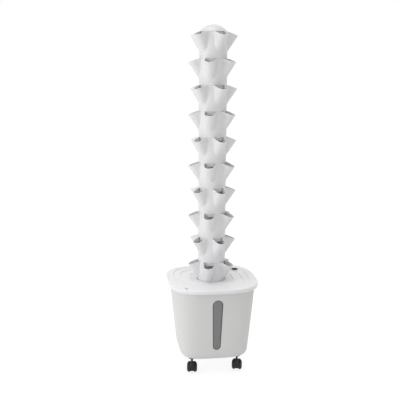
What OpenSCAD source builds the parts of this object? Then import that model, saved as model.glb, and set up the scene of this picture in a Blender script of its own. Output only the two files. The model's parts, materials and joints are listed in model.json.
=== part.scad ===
// Vertical planter tower: ten stacked planting modules with five pockets each,
// standing on a nutrient tank that rolls on four casters.
// Millimetres, +Z up. The origin is on the floor, under the axis of the tower.
// The level window faces -Y.

/* [Tower] */
// Outside diameter of the tower tube
tube_d = 105.4; // [96:0.2:110]
// Wall of the tube
tube_wall = 2.4; // [2:0.2:3.2]
// Height of one module, from one shoulder to the next
layer_pitch = 96; // [90:1:110]
// Straight sleeve under the moulded line of a module
sleeve_h = 22; // [14:1:28]
// Length of the spigot that enters the module below
spigot_h = 12; // [8:1:16]
// Height of the dome above the top module
dome_h = 26.9; // [18:0.1:34]

/* [Pockets] */
// Distance from the axis to the lip of a pocket
pocket_reach = 92; // [84:1:100]
// Clear width of a pocket's mouth
mouth_w = 38; // [32:1:40]
// Drop from the top of the module to the lip of a pocket
lip_drop = 14; // [10:1:18]
// Height of a pocket below its lip
pocket_depth = 57; // [50:1:62]
// Wall of a pocket
pocket_wall = 2.3; // [1.8:0.1:2.8]

/* [Tank] */
// Half width of the tank at its rim
tank_half_top = 161; // [150:0.2:166]
// Half width of the tank where its walls begin
tank_half_bottom = 133; // [128:0.2:142]
// Height of the tank
tank_h = 288.8; // [270:0.1:320]
// Wall of the tank
tank_wall = 2.6; // [2:0.2:3.4]
// Radius of the tank's bottom edge
tank_round = 30; // [20:1:34]

/* [Level window] */
// Height of the window's lower end above the tank's underside
window_foot_h = 44.9; // [40:0.1:60]
// Distance from the window's upper end to the tank's rim
window_head_h = 40.2; // [36:0.1:60]
// Width of the window at the top
window_w_top = 40; // [32:1:44]
// Width of the window at the bottom
window_w_bottom = 30; // [24:1:32]
// Visible width of the seal round the window
seal_w = 2; // [1.4:0.2:3]

/* [Lid] */
// Gap between the lip of the tank and the lid's band
lid_gap = 4.4; // [3.2:0.2:7]
// Height of the lid's outer band
lid_band_h = 14; // [10:0.5:18]
// Thickness of the lid's plate
lid_t = 2.4; // [2:0.2:3]
// Height of each step of the lid's dish
dish_step = 1.3; // [0.8:0.1:1.8]
// Diameter of the air hole at the front left
vent_d = 10; // [6:0.5:12]
// Diameter of the filling hole at the back right
fill_d = 22; // [16:1:26]

/* [Casters] */
// Height from the floor to the underside of the tank
caster_h = 67.5; // [64:0.5:76]
// Radius of a caster's wheels
wheel_r = 19; // [17:0.5:20]
// Width of one wheel
wheel_w = 14; // [10:0.5:16]
// Distance from the swivel axis back to the axle
caster_trail = 21; // [19:0.5:24]
// Distance of each swivel axis from the edges of the tank's flat underside
caster_inset = 15; // [14:1:26]

/* [Water riser] */
// Outside diameter of the riser pipe
riser_d = 20; // [18:1:22]
// Wall of the riser pipe
riser_wall = 2; // [1.5:0.1:2.5]

/* [Hidden] */

// Colours of the real pieces
shell_white = [0.91, 0.91, 0.92];
tank_grey = [0.84, 0.84, 0.83];
window_grey = [0.45, 0.45, 0.46];
rubber_black = [0.10, 0.10, 0.11];
caster_black = [0.16, 0.16, 0.17];
steel = [0.62, 0.62, 0.64];
pipe_white = [0.86, 0.87, 0.88];
pump_dark = [0.14, 0.15, 0.17];

// Shared clearances, the overrun of every cut and the step from a ring to its ribs
gap = 0.3;
running_gap = 0.05;
over = 1;
rib_step = 0.8;

// Counts and smoothness
layers = 10;
pockets = 5;
tube_fn = 96;
small_fn = 40;
outline_steps = 60;

// Tower
tube_r = tube_d / 2;
bore_r = tube_r - tube_wall;
spigot_r = bore_r - gap;
line_step = 0.6;
sleeve_r = tube_r - line_step;
lip_z = layer_pitch - lip_drop;
pocket_turn = 360 / pockets;

// A pocket is a leaning, slightly tapering tube, widened at the tower by a second one beside it
lean = atan((pocket_reach - tube_r) / pocket_depth);
taper = 3;
tilt = lean - taper;
pocket_r = mouth_w / 2 + pocket_wall;
pocket_len = (pocket_reach - bore_r + over) / sin(lean) * cos(taper);
// The rim slopes from the lip up to the top of the module
rim_tilt = atan((lip_drop + over) / (pocket_reach - tube_r));
mouth_at = pocket_reach - pocket_r * cos(tilt);
mouth_z = lip_z + pocket_r * sin(tilt);
flank_spread = 2;
flank_inset = 16;
flank_r = pocket_r + flank_spread;
flank_at = mouth_at - flank_inset;
flank_z = mouth_z + (mouth_at - flank_at) * tan(tilt);
mouth_cut_h = 12;

// Tank
tank_z = caster_h;
rim_z = tank_z + tank_h;
wall_z = tank_z + tank_round;
tank_lean = atan((tank_half_top - tank_half_bottom) / (rim_z - wall_z));
tank_power_top = 3.4;
tank_power_bottom = 4.6;
rim_lip_w = 5;
rim_lip_h = 4.3;
socket_r = 9;
socket_h = 26;
stem_depth = 22;

// Window
window_z = tank_z + (window_foot_h + tank_h - window_head_h) / 2;
window_len = (tank_h - window_foot_h - window_head_h) / cos(tank_lean);
seal_flange_w = 4;
seal_flange_t = 1.4;
pane_flange_w = 2.4;
pane_t = 1.6;
seal_set = 0.5;
pane_set = 1;
flange_gap = 0.5;
seal_back = tank_wall + flange_gap + seal_flange_t;
pane_back = seal_back + gap;
end_steps = 12;

// Lid
band_draft = 1.2;
lid_z = rim_z + gap + lid_t;
lid_half = tank_half_top + rim_lip_w + lid_gap + lid_t + band_draft;
lid_power = 3.1;
lid_edge_r = 4;
band_z = lid_z - lid_band_h;
// Each terrace of the dish: half width as a share of the lid's, and the squareness of its outline
terrace_shares = [[0.845, 3.3], [0.69, 3.5], [0.48, 3.3]];
riser_run = 1.6;
floor_z = lid_z - len(terrace_shares) * dish_step;
seat_z = floor_z - sleeve_h;
collar_r = sleeve_r + gap;
collar_wall = 2.6;
skirt_h = 16;
spider_h = 5;
spider_rib = 3;
spider_ribs = 4;
hub_wall = 4;
rib_inset = 5.6;
rib_w = 2;
rib_h = 9;
notch_w = 1.5;
notch_rise = 0.4;
vent_shares = [-0.6615, -0.767];
fill_shares = [0.641, 0.534];
vent_at = lid_half * vent_shares;
fill_at = lid_half * fill_shares;
fill_land_w = 4;

// Fill plug
plug_head_w = 2;
plug_head_t = 2.2;
plug_depth = 6;
plug_dimple_d = 12;
plug_dimple_t = 0.8;

// Dome
tower_top = seat_z + layers * layer_pitch;
dome_wall = 2.2;
dome_r = (tube_r * tube_r + dome_h * dome_h) / (2 * dome_h);
dome_mid = tower_top + dome_h - dome_r;

// Riser
riser_r = riser_d / 2;
riser_bore_r = riser_r - riser_wall;
coupling_wall = 2.2;
coupling_r = riser_r + running_gap + coupling_wall;
coupling_h = 40;
joint_layers = 5.5;
riser_drop = 9;
joint_lower_z = seat_z - skirt_h + spider_h + gap + coupling_h / 2;
joint_upper_z = seat_z + joint_layers * layer_pitch;
riser_top = tower_top - riser_drop;
guide_h = 6;
guide_rib = 2;
guide_gap = 0.4;
guide_wall = 2;

// Distributor under the dome
rose_r = 42;
rose_t = 3;
rose_rim_h = 6;
rose_wall = 2;
rose_hole_r = 1.6;
rose_holes = 20;
rose_ring_shares = [0.52, 0.84];

// Pump, with its rotor axis along Y and its outlet on the tower's axis
pump_foot_h = 5;
pump_floor = tank_z + tank_wall + pump_foot_h;
pump_w = 52;
pump_d = 46;
pump_h = 50;
pump_corner = 6;
pump_mid = pump_floor + pump_h / 2;
chamber_r = 20;
chamber_bore = 17;
chamber_half = 8;
volute_t = 2.4;
outlet_r = 8;
outlet_bore = 5.5;
outlet_h = 16;
rotor_r = 8.5;
rotor_gap = 0.6;
rotor_well = rotor_r + rotor_gap;
rotor_len = 28;
well_depth = 34;
shaft_r = 1.5;
bush_r = 4.2;
bush_t = 4;
bush_wall = 1.4;
impeller_r = 14;
impeller_t = 1.6;
impeller_hub_r = 5;
impeller_gap = 3;
impeller_y = chamber_half - 2 * impeller_t;
blade_h = 5;
blade_t = 1.6;
blades = 6;
intake_r = 8;
intake_d = 16;
intake_wall = 1.8;
slot_w = 3;
slot_pitch = 5.4;
slots = 7;
foot_r = 8;
foot_inset = 12;
gland_r = 5;
gland_h = 9;
gland_rise = 12.5;
gland_taper_share = 0.72;
adapter_wall = 2;
adapter_socket_h = 10;
adapter_h = 26;
nozzle_h = 18;
adapter_z = pump_mid + chamber_r + outlet_h - adapter_socket_h;
pump_top = adapter_z + adapter_h;
volute_y = -chamber_half - volute_t;
rotor_y = chamber_half + bush_t;
shaft_from = volute_y;
shaft_to = chamber_half + well_depth;

// Casters: side of the tank in X and Y, and the angle each one stands at
corners = [[-1, -1, 9], [1, -1, 14], [1, 1, 6], [-1, 1, 12]];
caster_at = tank_half_bottom - tank_round - caster_inset;
web_w = 9;
wheel_gap = 1.2;
axle_r = 3;
stem_r = 4;
flange_r = 12.5;
flange_t = 2.5;
boss_r = 7;
boss_gap = 18;
stem_inset = 2;
wheel_edge = 1;
axle_inset = 2;
web_inset = 5;
hood_gap = 1.2;
hood_wall = 2;
hood_inset = 4.2;
hood_w = 2 * wheel_w + web_w + 2 * wheel_gap - 2 * hood_inset;
hood_from = -24;
hood_to = 112;
wheel_flat_share = 0.62;
wheel_face_share = 0.52;
boss_z = tank_z - flange_t - boss_gap;
boss_share = 0.55;
boss_bottom = wheel_r + boss_share * (wheel_r + hood_gap);

// Outline of a square with soft sides and corners; a higher power is squarer
function soft_square(half, power) = [
    for (i = [0 : outline_steps - 1])
        let (c = cos(360 * i / outline_steps), s = sin(360 * i / outline_steps))
            [half * sign(c) * pow(abs(c), 2 / power), half * sign(s) * pow(abs(s), 2 / power)]
];

// Skin through soft squares, each given as height, half width and power, from the bottom up
module loft(levels) {
    n = outline_steps;
    points = [for (l = levels) for (p = soft_square(l[1], l[2])) [p[0], p[1], l[0]]];
    sides = [
        for (j = [0 : len(levels) - 2]) for (i = [0 : n - 1])
            let (a = j * n + i, b = j * n + (i + 1) % n) each [[a, b + n, b], [a, a + n, b + n]]
    ];
    bottom = [for (i = [0 : n - 1]) i];
    top = [for (i = [n - 1 : -1 : 0]) (len(levels) - 1) * n + i];
    polyhedron(points = points, faces = concat([bottom], sides, [top]));
}

// Half width and squareness of the tank at a height
function tank_half(z) = tank_half_bottom
    + (tank_half_top - tank_half_bottom) * (z - wall_z) / (rim_z - wall_z);
function tank_power(z) = tank_power_bottom
    + (tank_power_top - tank_power_bottom) * max(0, z - wall_z) / (rim_z - wall_z);

// Levels of the tank's skin, drawn in by a wall: the round bottom edge, then the straight walls
function tank_levels(inset, top) = concat(
    [for (a = [0 : 18 : 90]) [
        tank_z + inset + (tank_round - inset) * (1 - cos(a)),
        tank_half_bottom - tank_round + (tank_round - inset) * sin(a),
        tank_power_bottom
    ]],
    [for (s = [1 : 3]) let (z = wall_z + (top - wall_z) * s / 3) [z, tank_half(z) - inset, tank_power(z)]]
);

// Stadium with unlike ends, standing on the middle of its length
function slot_outline(r_top, r_bottom, length, inset) =
    let (a0 = asin((r_top - r_bottom) / (length - r_top - r_bottom)), n = end_steps)
    concat(
        [for (i = [0 : n]) let (a = -a0 + (180 + 2 * a0) * i / n)
            [(r_top - inset) * cos(a), length / 2 - r_top + (r_top - inset) * sin(a)]],
        [for (i = [0 : n]) let (a = 180 + a0 + (180 - 2 * a0) * i / n)
            [(r_bottom - inset) * cos(a), r_bottom - length / 2 + (r_bottom - inset) * sin(a)]]
    );

// A slab in the front wall's plane, from one depth under its surface to another
module window_slab(inset, depth_from, depth_to) {
    translate([0, -tank_half(window_z), window_z]) rotate([90 + tank_lean, 0, 0])
        translate([0, 0, -depth_to]) linear_extrude(height = depth_to - depth_from)
            polygon(slot_outline(window_w_top / 2, window_w_bottom / 2, window_len, inset));
}

module at_corners() {
    for (c = corners) translate([c[0] * caster_at, c[1] * caster_at, 0]) children();
}

// Lip round the tank's rim, on a slope that starts inside the wall
module tank_lip() {
    foot_z = rim_z - rim_lip_h - rim_lip_w;
    loft([
        [foot_z, tank_half(foot_z) - tank_wall / 2, tank_power_top],
        [rim_z - rim_lip_h, tank_half_top + rim_lip_w, lid_power],
        [rim_z, tank_half_top + rim_lip_w, lid_power]
    ]);
}

module tank() {
    color(tank_grey) difference() {
        union() {
            difference() {
                union() {
                    loft(tank_levels(0, rim_z));
                    tank_lip();
                }
                loft(tank_levels(tank_wall, rim_z + over));
            }
            at_corners() translate([0, 0, tank_z + tank_wall / 2])
                cylinder(r = socket_r, h = socket_h - tank_wall / 2, $fn = small_fn);
        }
        at_corners() translate([0, 0, tank_z - over])
            cylinder(r = stem_r + running_gap, h = stem_depth + over + gap, $fn = small_fn);
        window_slab(0, -over, tank_wall + over);
    }
}

module window_seal() {
    color(rubber_black) difference() {
        union() {
            window_slab(gap, seal_set, seal_back - seal_flange_t / 2);
            window_slab(-seal_flange_w, seal_back - seal_flange_t, seal_back);
        }
        window_slab(seal_w, -over, seal_back + over);
    }
}

module level_window() {
    color(window_grey) {
        window_slab(seal_w + gap, pane_set, pane_back + pane_t / 2);
        window_slab(-pane_flange_w, pane_back, pane_back + pane_t);
    }
}

// The stepped dish: one soft disc for each terrace, each lower and narrower than the last
module dish(depth, grow) {
    for (k = [0 : len(terrace_shares) - 1]) {
        half = terrace_shares[k][0] * lid_half + grow;
        power = terrace_shares[k][1];
        bottom = lid_z - depth - (k + 1) * dish_step;
        loft([
            [bottom, half - riser_run, power],
            [bottom + dish_step, half, power],
            [bottom + dish_step + over, half, power]
        ]);
    }
}

// Band, plate and locating rib of the lid, with the underside of the dish and the collar
module lid_shell() {
    edge = [for (a = [0 : 30 : 90]) [
        lid_z - lid_edge_r * (1 - sin(a)), lid_half - lid_edge_r * (1 - cos(a)), lid_power
    ]];
    inner = lid_half - lid_t - band_draft;
    rib_half = tank_half_top - rib_inset;
    difference() {
        loft(concat([[band_z, lid_half - band_draft, lid_power]], edge));
        loft([[band_z - over, inner, lid_power], [lid_z - lid_t, inner, lid_power]]);
    }
    difference() {
        loft([
            [lid_z - lid_t - rib_h, rib_half, tank_power_top],
            [lid_z - lid_t / 2, rib_half, tank_power_top]
        ]);
        loft([
            [lid_z - lid_t - rib_h - over, rib_half - rib_w, tank_power_top],
            [lid_z - lid_t / 2 + over, rib_half - rib_w, tank_power_top]
        ]);
    }
    dish(lid_t, lid_t);
    translate([0, 0, seat_z - lid_t])
        cylinder(r = collar_r + collar_wall, h = floor_z - seat_z + lid_t - dish_step / 2, $fn = tube_fn);
    translate([0, 0, seat_z - skirt_h])
        cylinder(r = bore_r + collar_wall, h = skirt_h, $fn = tube_fn);
}

module lid() {
    color(shell_white) difference() {
        union() {
            difference() {
                lid_shell();
                dish(0, 0);
            }
            translate([fill_at[0], fill_at[1], lid_z - lid_t - dish_step])
                cylinder(r = fill_d / 2 + fill_land_w, h = lid_t + dish_step, $fn = small_fn);
        }
        translate([0, 0, seat_z]) cylinder(r = collar_r, h = sleeve_h + over, $fn = tube_fn);
        translate([0, 0, seat_z - skirt_h - over])
            cylinder(r = bore_r, h = skirt_h + 2 * over, $fn = tube_fn);
        // The air hole, and under it a wider notch in the locating rib
        translate([vent_at[0], vent_at[1], lid_z - lid_t - over])
            cylinder(r = vent_d / 2, h = lid_t + 2 * over, $fn = small_fn);
        translate([vent_at[0], vent_at[1], lid_z - lid_t - rib_h - over])
            cylinder(r = vent_d / 2 + notch_w, h = rib_h + notch_rise + over, $fn = small_fn);
        translate([fill_at[0], fill_at[1], lid_z - lid_t - 2 * dish_step - over])
            cylinder(r = fill_d / 2, h = lid_t + 2 * dish_step + 2 * over, $fn = small_fn);
    }
    color(shell_white) lid_spider();
}

// Ribs and hub across the collar, which hold the riser on the axis
module lid_spider() {
    hub_r = riser_r + gap + hub_wall;
    translate([0, 0, seat_z - skirt_h]) difference() {
        union() {
            cylinder(r = hub_r, h = spider_h, $fn = small_fn);
            for (k = [0 : spider_ribs - 1]) rotate([0, 0, 360 * (k + 0.5) / spider_ribs])
                translate([hub_r - over, -spider_rib / 2, rib_step])
                    cube([bore_r - hub_r + 2 * over, spider_rib, spider_h - 2 * rib_step]);
        }
        translate([0, 0, -over]) cylinder(r = riser_r + gap, h = spider_h + 2 * over, $fn = small_fn);
    }
}

module fill_plug() {
    head_r = fill_d / 2 + plug_head_w;
    color(rubber_black) translate([fill_at[0], fill_at[1], lid_z + gap]) difference() {
        union() {
            cylinder(r1 = head_r, r2 = head_r - plug_head_w / 2, h = plug_head_t, $fn = small_fn);
            translate([0, 0, -plug_depth])
                cylinder(r = fill_d / 2 - gap, h = plug_depth + over, $fn = small_fn);
        }
        translate([0, 0, plug_head_t - plug_dimple_t])
            cylinder(r = plug_dimple_d / 2, h = plug_dimple_t + over, $fn = small_fn);
    }
}

// Leaning tube of a pocket, from inside the tower's bore to past its mouth, drawn in by a wall
module pocket_tube(r, at, z, inset, extra) {
    translate([at, 0, z]) rotate([0, tilt, 0]) translate([0, 0, -pocket_len]) cylinder(
        r1 = r - inset - pocket_len * tan(taper), r2 = r - inset + extra * tan(taper),
        h = pocket_len + extra, $fn = small_fn
    );
}

module pocket_tubes(inset, extra) {
    for (k = [0 : pockets - 1]) rotate([0, 0, pocket_turn * k]) {
        pocket_tube(pocket_r, mouth_at, mouth_z, inset, extra);
        pocket_tube(flank_r, flank_at, flank_z, inset, extra);
    }
}

// What is cut away above the sloping rims
module rim_cuts() {
    reach = pocket_reach - bore_r;
    for (k = [0 : pockets - 1]) rotate([0, 0, pocket_turn * k])
        translate([pocket_reach, 0, lip_z]) rotate([0, rim_tilt, 0])
            translate([-reach, -flank_r - over, 0]) cube([reach + over, 2 * (flank_r + over), pocket_r]);
}

// One planting module, on its shoulder at z = 0
module planting_module() {
    difference() {
        union() {
            translate([0, 0, sleeve_h]) cylinder(r = tube_r, h = layer_pitch - sleeve_h, $fn = tube_fn);
            cylinder(r = sleeve_r, h = sleeve_h + over, $fn = tube_fn);
            translate([0, 0, -spigot_h]) cylinder(r = spigot_r, h = spigot_h + over, $fn = tube_fn);
            pocket_tubes(0, over);
        }
        translate([0, 0, -spigot_h - over])
            cylinder(r = spigot_r - tube_wall, h = spigot_h + tube_wall + 2 * over, $fn = tube_fn);
        translate([0, 0, tube_wall]) cylinder(r = bore_r, h = layer_pitch, $fn = tube_fn);
        translate([0, 0, layer_pitch]) cylinder(r = pocket_reach, h = layer_pitch, $fn = tube_fn);
        pocket_tubes(pocket_wall, mouth_cut_h);
        rim_cuts();
    }
    pipe_guide();
}

// Ribs and ring at the foot of a module, round the riser
module pipe_guide() {
    ring_r = coupling_r + guide_gap;
    rib_from = ring_r + guide_wall / 2;
    rib_to = spigot_r - tube_wall + over;
    difference() {
        union() {
            cylinder(r = ring_r + guide_wall, h = guide_h, $fn = small_fn);
            for (k = [0 : pockets - 1]) rotate([0, 0, pocket_turn * (k + 0.5)])
                translate([rib_from, -guide_rib / 2, rib_step])
                    cube([rib_to - rib_from, guide_rib, guide_h - 2 * rib_step]);
        }
        translate([0, 0, -over]) cylinder(r = ring_r, h = guide_h + 2 * over, $fn = small_fn);
    }
}

// Layers are counted from the top, and each is turned half a pocket from the next
module layer(n) {
    color(shell_white) translate([0, 0, seat_z + (layers - n) * layer_pitch])
        rotate([0, 0, n % 2 == 1 ? 0 : 180]) planting_module();
}

module tower_module_01() { layer(1); }
module tower_module_02() { layer(2); }
module tower_module_03() { layer(3); }
module tower_module_04() { layer(4); }
module tower_module_05() { layer(5); }
module tower_module_06() { layer(6); }
module tower_module_07() { layer(7); }
module tower_module_08() { layer(8); }
module tower_module_09() { layer(9); }
module tower_module_10() { layer(10); }

module dome_cap() {
    seat = tower_top + gap;
    color(shell_white) difference() {
        union() {
            intersection() {
                translate([0, 0, dome_mid]) sphere(r = dome_r, $fn = tube_fn);
                translate([0, 0, seat]) cylinder(r = tube_r + over, h = dome_h + over, $fn = tube_fn);
            }
            translate([0, 0, seat - spigot_h]) cylinder(r = spigot_r, h = spigot_h + over, $fn = tube_fn);
        }
        intersection() {
            translate([0, 0, dome_mid]) sphere(r = dome_r - dome_wall, $fn = tube_fn);
            translate([0, 0, seat - over])
                cylinder(r = spigot_r - tube_wall, h = dome_h + over, $fn = tube_fn);
        }
        translate([0, 0, seat - spigot_h - over])
            cylinder(r = spigot_r - tube_wall, h = spigot_h + over + gap, $fn = tube_fn);
    }
}

module pipe(from, to, outer, inner) {
    translate([0, 0, from]) difference() {
        cylinder(r = outer, h = to - from, $fn = small_fn);
        translate([0, 0, -over]) cylinder(r = inner, h = to - from + 2 * over, $fn = small_fn);
    }
}

module riser_lower() {
    color(pipe_white) pipe(pump_top + gap, joint_lower_z, riser_r, riser_bore_r);
}

module riser_middle() {
    color(pipe_white) pipe(joint_lower_z, joint_upper_z, riser_r, riser_bore_r);
}

module riser_upper() {
    color(pipe_white) pipe(joint_upper_z, riser_top, riser_r, riser_bore_r);
}

module coupling(mid) {
    color(pipe_white) pipe(mid - coupling_h / 2, mid + coupling_h / 2, coupling_r, riser_r + running_gap);
}

module riser_coupling_lower() { coupling(joint_lower_z); }
module riser_coupling_upper() { coupling(joint_upper_z); }

module water_distributor() {
    hub_r = riser_r + running_gap + rose_wall;
    color(pipe_white) translate([0, 0, riser_top - rose_rim_h]) difference() {
        union() {
            cylinder(r = rose_r, h = rose_t, $fn = tube_fn);
            difference() {
                cylinder(r = rose_r, h = rose_rim_h, $fn = tube_fn);
                translate([0, 0, -over])
                    cylinder(r = rose_r - rose_wall, h = rose_rim_h + 2 * over, $fn = tube_fn);
            }
            translate([0, 0, -rose_rim_h]) cylinder(r = hub_r, h = rose_rim_h + over, $fn = small_fn);
        }
        translate([0, 0, -rose_rim_h - over])
            cylinder(r = riser_r + running_gap, h = 2 * rose_rim_h + 2 * over, $fn = small_fn);
        for (s = rose_ring_shares) for (k = [0 : rose_holes - 1]) rotate([0, 0, 360 * k / rose_holes])
            translate([s * rose_r, 0, -over]) cylinder(r = rose_hole_r, h = rose_t + 2 * over, $fn = 16);
    }
}

// Block with round upright edges, standing on z = 0 at the middle of its plan
module block(w, d, h, r) {
    linear_extrude(height = h) polygon([
        for (q = [[1, 1, 0], [-1, 1, 90], [-1, -1, 180], [1, -1, 270]]) for (a = [0 : 15 : 90])
            [q[0] * (w / 2 - r) + r * cos(q[2] + a), q[1] * (d / 2 - r) + r * sin(q[2] + a)]
    ]);
}

// Turns a thing that stands on z = 0 to lie along Y, from a face towards +Y
module along_y(y) {
    translate([0, y, pump_mid]) rotate([-90, 0, 0]) children();
}

module pump_body() {
    color(pump_dark) difference() {
        union() {
            translate([0, chamber_half + pump_d / 2, pump_floor])
                block(pump_w, pump_d, pump_h, pump_corner);
            along_y(-chamber_half) cylinder(r = chamber_r, h = 2 * chamber_half + over, $fn = small_fn);
            translate([0, 0, pump_mid]) cylinder(r = outlet_r, h = chamber_r + outlet_h, $fn = small_fn);
        }
        along_y(-chamber_half - over)
            cylinder(r = chamber_bore, h = 2 * chamber_half + over, $fn = small_fn);
        along_y(chamber_half - over)
            cylinder(r = rotor_well, h = well_depth + over, $fn = small_fn);
        translate([0, 0, pump_mid])
            cylinder(r = outlet_bore, h = chamber_r + outlet_h + over, $fn = small_fn);
    }
}

module pump_volute_cover() {
    color(pump_dark) difference() {
        along_y(volute_y) cylinder(r = chamber_r, h = volute_t, $fn = small_fn);
        along_y(volute_y - over) difference() {
            cylinder(r = intake_r, h = volute_t + 2 * over, $fn = small_fn);
            cylinder(r = bush_r + bush_wall, h = volute_t + 2 * over, $fn = small_fn);
            for (a = [0, 60, 120]) rotate([0, 0, a])
                translate([-intake_r, -blade_t / 2, 0]) cube([2 * intake_r, blade_t, volute_t + 2 * over]);
        }
        along_y(volute_y - over)
            cylinder(r = bush_r + running_gap, h = volute_t + 2 * over, $fn = small_fn);
    }
}

module pump_intake_cover() {
    front = volute_y - intake_d;
    width = 2 * chamber_r + 2 * intake_wall;
    color(pump_dark) translate([0, front, pump_mid]) rotate([-90, 0, 0]) difference() {
        block(width, width, intake_d, pump_corner);
        translate([0, 0, intake_wall])
            block(width - 2 * intake_wall, width - 2 * intake_wall, intake_d, pump_corner - intake_wall);
        for (k = [0 : slots - 1])
            translate([(k - (slots - 1) / 2) * slot_pitch - slot_w / 2, -chamber_r / 2, -over])
                cube([slot_w, chamber_r, intake_wall + 2 * over]);
    }
}

module pump_rotor() {
    hub_y = -chamber_half + impeller_gap;
    color(pump_dark) difference() {
        union() {
            along_y(rotor_y) cylinder(r = rotor_r, h = rotor_len - 2 * bush_t, $fn = small_fn);
            along_y(hub_y) cylinder(r = impeller_hub_r, h = rotor_y - hub_y + over, $fn = small_fn);
            along_y(impeller_y) cylinder(r = impeller_r, h = impeller_t, $fn = small_fn);
            along_y(impeller_y - blade_h) for (k = [0 : blades - 1]) rotate([0, 0, 360 * k / blades])
                translate([impeller_hub_r / 2, -blade_t / 2, 0])
                    cube([impeller_r - impeller_hub_r / 2, blade_t, blade_h + over]);
        }
        along_y(hub_y - over)
            cylinder(r = shaft_r + running_gap, h = shaft_to - shaft_from, $fn = small_fn);
    }
}

module pump_shaft() {
    color(steel) along_y(shaft_from) cylinder(r = shaft_r, h = shaft_to - shaft_from, $fn = small_fn);
}

module bush(y) {
    along_y(y) difference() {
        cylinder(r = bush_r, h = bush_t / 2, $fn = small_fn);
        translate([0, 0, -over]) cylinder(r = shaft_r + running_gap, h = bush_t, $fn = small_fn);
    }
}

module pump_shaft_bushes() {
    color(rubber_black) {
        bush(volute_y);
        difference() {
            along_y(shaft_to - bush_t) cylinder(r = rotor_well - running_gap, h = bush_t, $fn = small_fn);
            along_y(shaft_to - bush_t - over)
                cylinder(r = shaft_r + running_gap, h = bush_t + 2 * over, $fn = small_fn);
        }
    }
}

module pump_outlet_adapter() {
    sleeve_out = outlet_r + running_gap + adapter_wall;
    nozzle_r = riser_bore_r - gap / 2;
    color(pipe_white) difference() {
        union() {
            translate([0, 0, adapter_z]) cylinder(r = sleeve_out, h = pump_top - adapter_z, $fn = small_fn);
            translate([0, 0, pump_top - over]) cylinder(r = nozzle_r, h = nozzle_h + over, $fn = small_fn);
        }
        translate([0, 0, adapter_z - over])
            cylinder(r = outlet_r + running_gap, h = adapter_socket_h + over, $fn = small_fn);
        translate([0, 0, adapter_z - over])
            cylinder(r = outlet_bore, h = adapter_h + nozzle_h + 2 * over, $fn = small_fn);
    }
}

module pump_suction_feet() {
    color(rubber_black) translate([0, chamber_half + pump_d / 2, tank_z + tank_wall])
        for (x = [-1, 1]) for (y = [-1, 1])
            translate([x * (pump_w / 2 - foot_inset), y * (pump_d / 2 - foot_inset), 0])
                cylinder(r1 = foot_r, r2 = foot_r / 2, h = pump_foot_h, $fn = small_fn);
}

module pump_cable_gland() {
    color(rubber_black) translate([0, 0, gland_rise]) along_y(chamber_half + pump_d)
        cylinder(r1 = gland_r, r2 = gland_r * gland_taper_share, h = gland_h, $fn = small_fn);
}

// Caster parts stand on their own swivel axis, with the wheels trailing towards +Y
module place_caster(k) {
    translate([corners[k][0] * caster_at, corners[k][1] * caster_at, 0])
        rotate([0, 0, -corners[k][2]]) children();
}

// Turns a thing that stands on z = 0 onto the axle, pointing towards +X
module on_axle() {
    translate([0, caster_trail, wheel_r]) rotate([0, 90, 0]) children();
}

module caster_stem(k) {
    color(steel) place_caster(k) translate([0, 0, boss_bottom + stem_inset])
        cylinder(r = stem_r, h = tank_z + stem_depth - boss_bottom - stem_inset, $fn = small_fn);
    color(caster_black) place_caster(k) translate([0, 0, tank_z - flange_t])
        cylinder(r = flange_r, h = flange_t, $fn = small_fn);
}

// Half section of one wheel: the inner face at 0, a flat tread and a domed outer face
function wheel_section() = concat(
    [[axle_r + running_gap, 0], [wheel_r - wheel_edge, 0], [wheel_r, wheel_edge]],
    [for (a = [0 : 15 : 90]) [
        wheel_r * (wheel_face_share + (1 - wheel_face_share) * cos(a)),
        wheel_w * (wheel_flat_share + (1 - wheel_flat_share) * sin(a))
    ]],
    [for (r = [wheel_r * wheel_face_share - wheel_edge, axle_r + running_gap]) [r, wheel_w - wheel_edge]]
);

module caster_wheel(k, side) {
    color(caster_black) place_caster(k) on_axle() mirror([0, 0, side > 0 ? 0 : 1])
        translate([0, 0, web_w / 2 + wheel_gap]) rotate_extrude($fn = 64) polygon(wheel_section());
}

module caster_axle(k) {
    length = web_w + 2 * wheel_gap + 2 * (wheel_w - axle_inset);
    color(steel) place_caster(k) on_axle() translate([0, 0, -length / 2])
        cylinder(r = axle_r, h = length, $fn = small_fn);
}

module caster_hood(k) {
    inner = wheel_r + hood_gap;
    outer = inner + hood_wall;
    reach = 2 * outer;
    color(caster_black) place_caster(k) difference() {
        union() {
            difference() {
                on_axle() translate([0, 0, -hood_w / 2])
                    cylinder(r = outer, h = hood_w, $fn = 64);
                on_axle() translate([0, 0, -hood_w / 2 - over])
                    cylinder(r = inner, h = hood_w + 2 * over, $fn = 64);
                translate([-hood_w, caster_trail, wheel_r]) rotate([90, 0, 90])
                    linear_extrude(height = 2 * hood_w) polygon(reach * [
                        [0, 0], [-cos(hood_from), sin(hood_from)], [-1, -1], [1, -1],
                        [1, 1], [-cos(hood_to), sin(hood_to)]
                    ]);
            }
            on_axle() translate([0, 0, -web_w / 2])
                cylinder(r = wheel_r - web_inset, h = web_w, $fn = 64);
            translate([-web_w / 2, caster_trail - inner - hood_wall / 2, wheel_r])
                cube([web_w, inner, boss_share * inner + over]);
            translate([0, 0, boss_bottom])
                cylinder(r = boss_r, h = boss_z - boss_bottom, $fn = small_fn);
        }
        translate([0, 0, boss_bottom - over])
            cylinder(r = stem_r + running_gap, h = boss_z - boss_bottom + 2 * over, $fn = small_fn);
        on_axle() translate([0, 0, -web_w])
            cylinder(r = axle_r + running_gap, h = 2 * web_w, $fn = small_fn);
    }
}

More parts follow.
